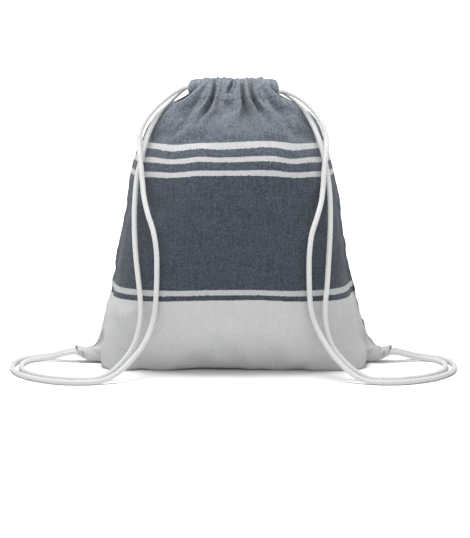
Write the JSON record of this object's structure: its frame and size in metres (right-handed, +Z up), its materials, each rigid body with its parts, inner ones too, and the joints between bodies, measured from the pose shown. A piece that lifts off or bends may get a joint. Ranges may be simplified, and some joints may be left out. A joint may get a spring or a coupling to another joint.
{
  "type": "drawstring backpack",
  "caption": "Cotton drawstring backpack standing stuffed: striped cloth panels, gathered hem casings, braided cord straps looping to cloth tabs at the bottom corners.",
  "frame": {"origin": "on the floor under the middle of the bag without its free cords", "axes": "+X across the bag towards the right as seen from the front, +Y towards the back panel, +Z up; the front panel faces -Y"},
  "size_m": [0.5142, 0.2173, 0.3328],
  "materials": {
    "striped_cloth": "slate blue chambray plain weave with off-white woven stripes and a pale grey lower part",
    "pale_cloth": "pale grey cotton plain weave",
    "white_cord": "white braided cotton cord",
    "dark_thread": "dark sewing thread",
    "pale_thread": "off-white sewing thread"
  },
  "bodies": {
    "bag": {"front_panel": "striped_cloth", "back_panel": "striped_cloth", "left_corner_loop": "pale_cloth", "right_corner_loop": "pale_cloth", "left_cord_front_strand": "white_cord", "left_cord_back_strand": "white_cord", "right_cord_front_strand": "white_cord", "right_cord_back_strand": "white_cord", "left_cord_turn": "white_cord", "right_cord_turn": "white_cord", "left_cord_knot": "white_cord", "right_cord_knot": "white_cord", "left_side_overlock": "dark_thread", "right_side_overlock": "dark_thread", "bottom_overlock": "pale_thread", "left_loop_bartack": "pale_thread", "right_loop_bartack": "pale_thread", "left_slit_bartack": "dark_thread", "right_slit_bartack": "dark_thread"},
    "mouth_front": {"front_casing": "striped_cloth", "front_casing_stitching": "dark_thread", "left_cord_front_run": "white_cord", "right_cord_front_run": "white_cord"},
    "mouth_back": {"back_casing": "striped_cloth", "back_casing_stitching": "dark_thread", "left_cord_back_run": "white_cord", "right_cord_back_run": "white_cord"}
  },
  "joints": [
    {"name": "mouth_front_slide", "type": "slide", "parent": "bag", "child": "mouth_front", "axis": [0, -1, 0], "range_m": [0, 0.024]},
    {"name": "mouth_back_slide", "type": "slide", "parent": "bag", "child": "mouth_back", "axis": [0, 1, 0], "range_m": [0, 0.024]}
  ],
  "couplings": [
    {"joint": "mouth_back_slide", "follows": "mouth_front_slide", "ratio": 1}
  ]
}
